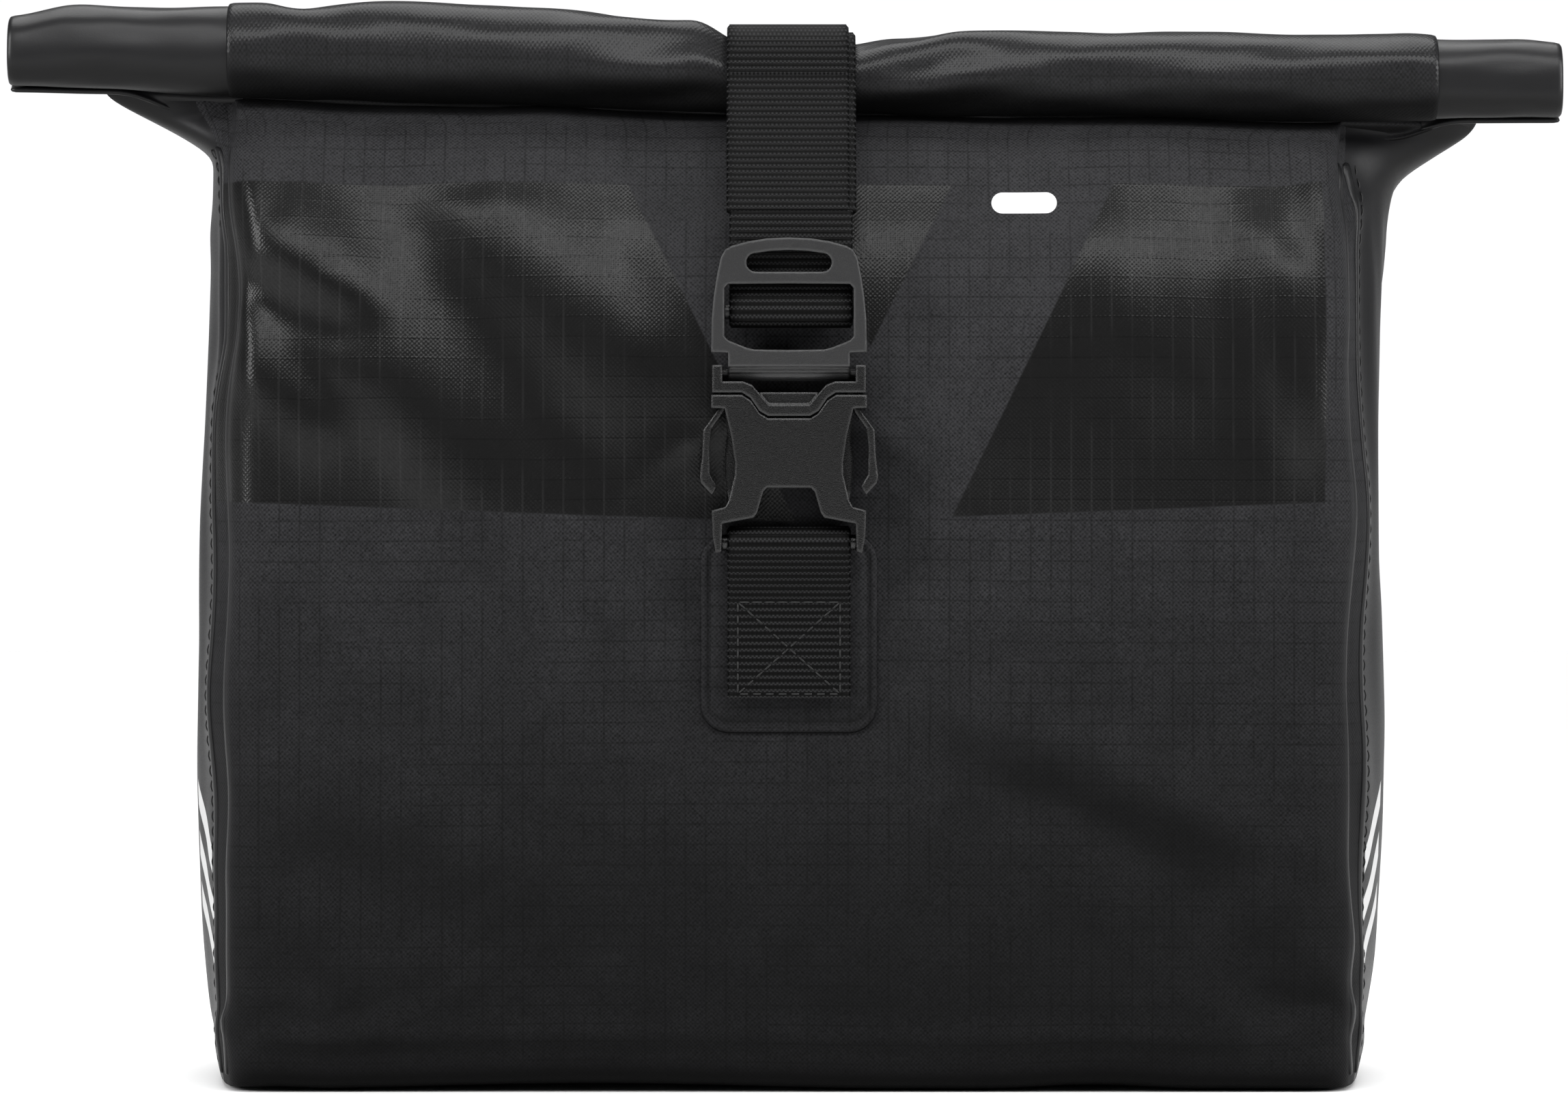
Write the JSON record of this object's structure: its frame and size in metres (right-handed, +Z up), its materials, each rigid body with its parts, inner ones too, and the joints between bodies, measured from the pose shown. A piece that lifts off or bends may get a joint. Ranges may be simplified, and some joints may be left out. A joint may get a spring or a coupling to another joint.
{
  "type": "roll-top bicycle pannier bag",
  "caption": "Small welded roll-top bag with a rolled closure, a centre strap with side-release buckle, and latching rack hooks on rails across its back.",
  "frame": {"origin": "centre of the base, on the surface the bag stands on", "axes": "+X to the right seen from the front, +Y from the front panel to the back, +Z up"},
  "size_m": [0.316, 0.156, 0.2173],
  "materials": {
    "ripstop_fabric": "printed ripstop, satin in places",
    "coated_fabric": "smooth coated fabric, matte",
    "webbing": "ribbed webbing",
    "buckle_plastic": "fine matte",
    "stiffener_plastic": "matte",
    "rail_plastic": "matte",
    "hook_plastic": "fine matte",
    "insert_plastic": "matte",
    "steel": "brushed"
  },
  "bodies": {
    "bag": {"main_panel": "ripstop_fabric", "side_gusset_left": "coated_fabric", "side_gusset_right": "coated_fabric", "gusset_fold_left": "coated_fabric", "gusset_fold_right": "coated_fabric", "roll_fabric": "ripstop_fabric", "roll_wing_left": "coated_fabric", "roll_wing_right": "coated_fabric", "roll_batten": "stiffener_plastic", "back_stiffener": "stiffener_plastic", "front_patch": "ripstop_fabric", "rear_patch": "ripstop_fabric", "anchor_webbing": "webbing", "closure_strap": "webbing", "strap_tail": "webbing", "strap_front_run": "webbing", "buckle_female": "buckle_plastic", "upper_rail": "rail_plastic", "upper_rail_caps": "rail_plastic", "lower_rail": "rail_plastic", "lower_rail_caps": "rail_plastic", "rail_screws": "steel", "rail_nuts": "steel"},
    "male_buckle": {"buckle_male": "buckle_plastic"},
    "adjuster": {"strap_adjuster": "buckle_plastic"},
    "prong_left": {"buckle_prong_left": "buckle_plastic"},
    "prong_right": {"buckle_prong_right": "buckle_plastic"},
    "hook_left": {"top_hook_left": "hook_plastic", "hook_insert_left": "insert_plastic", "latch_pin_left": "steel", "latch_spring_left": "steel"},
    "hook_right": {"top_hook_right": "hook_plastic", "hook_insert_right": "insert_plastic", "latch_pin_right": "steel", "latch_spring_right": "steel"},
    "latch_left": {"hook_latch_left": "hook_plastic"},
    "latch_right": {"hook_latch_right": "hook_plastic"},
    "anchor_slider": {"lower_slider": "hook_plastic", "lower_hook_bolt": "steel"},
    "anchor_finger": {"lower_hook": "hook_plastic"}
  },
  "joints": [
    {"name": "buckle_release", "type": "slide", "parent": "bag", "child": "male_buckle", "axis": [0, 0, 1], "range_m": [0, 0.024], "deforming": ["strap_front_run", "buckle_prong_left", "buckle_prong_right"]},
    {"name": "adjuster_tilt", "type": "hinge", "parent": "male_buckle", "child": "adjuster", "pos_m": [0, -0.0619, 0.1453], "axis": [1, 0, 0], "range_deg": [0, 35], "deforming": ["strap_front_run"]},
    {"name": "prong_left_squeeze", "type": "hinge", "parent": "male_buckle", "child": "prong_left", "pos_m": [-0.0126, -0.0619, 0.1399], "axis": [0, -1, 0], "range_deg": [0, 23], "stiffness_Nm_per_rad": 0.004, "springref_deg": -8.59},
    {"name": "prong_right_squeeze", "type": "hinge", "parent": "male_buckle", "child": "prong_right", "pos_m": [0.0126, -0.0619, 0.1399], "axis": [0, 1, 0], "range_deg": [0, 23], "stiffness_Nm_per_rad": 0.004, "springref_deg": -8.59},
    {"name": "hook_left_slide", "type": "slide", "parent": "bag", "child": "hook_left", "axis": [1, 0, 0], "range_m": [-0.02, 0.02]},
    {"name": "hook_right_slide", "type": "slide", "parent": "bag", "child": "hook_right", "axis": [1, 0, 0], "range_m": [-0.02, 0.02]},
    {"name": "latch_left_open", "type": "hinge", "parent": "hook_left", "child": "latch_left", "pos_m": [-0.062, 0.072, 0.17], "axis": [-1, 0, 0], "range_deg": [0, 16], "stiffness_Nm_per_rad": 0.01, "springref_deg": -17.19, "deforming": ["latch_spring_left"]},
    {"name": "latch_right_open", "type": "hinge", "parent": "hook_right", "child": "latch_right", "pos_m": [0.062, 0.072, 0.17], "axis": [-1, 0, 0], "range_deg": [0, 16], "stiffness_Nm_per_rad": 0.01, "springref_deg": -17.19, "deforming": ["latch_spring_right"]},
    {"name": "anchor_slide", "type": "slide", "parent": "bag", "child": "anchor_slider", "axis": [1, 0, 0], "range_m": [-0.038, 0.038]},
    {"name": "anchor_swivel", "type": "hinge", "parent": "anchor_slider", "child": "anchor_finger", "pos_m": [0, 0.0683, 0.052], "axis": [0, 1, 0], "range_deg": [-90, 90]}
  ]
}
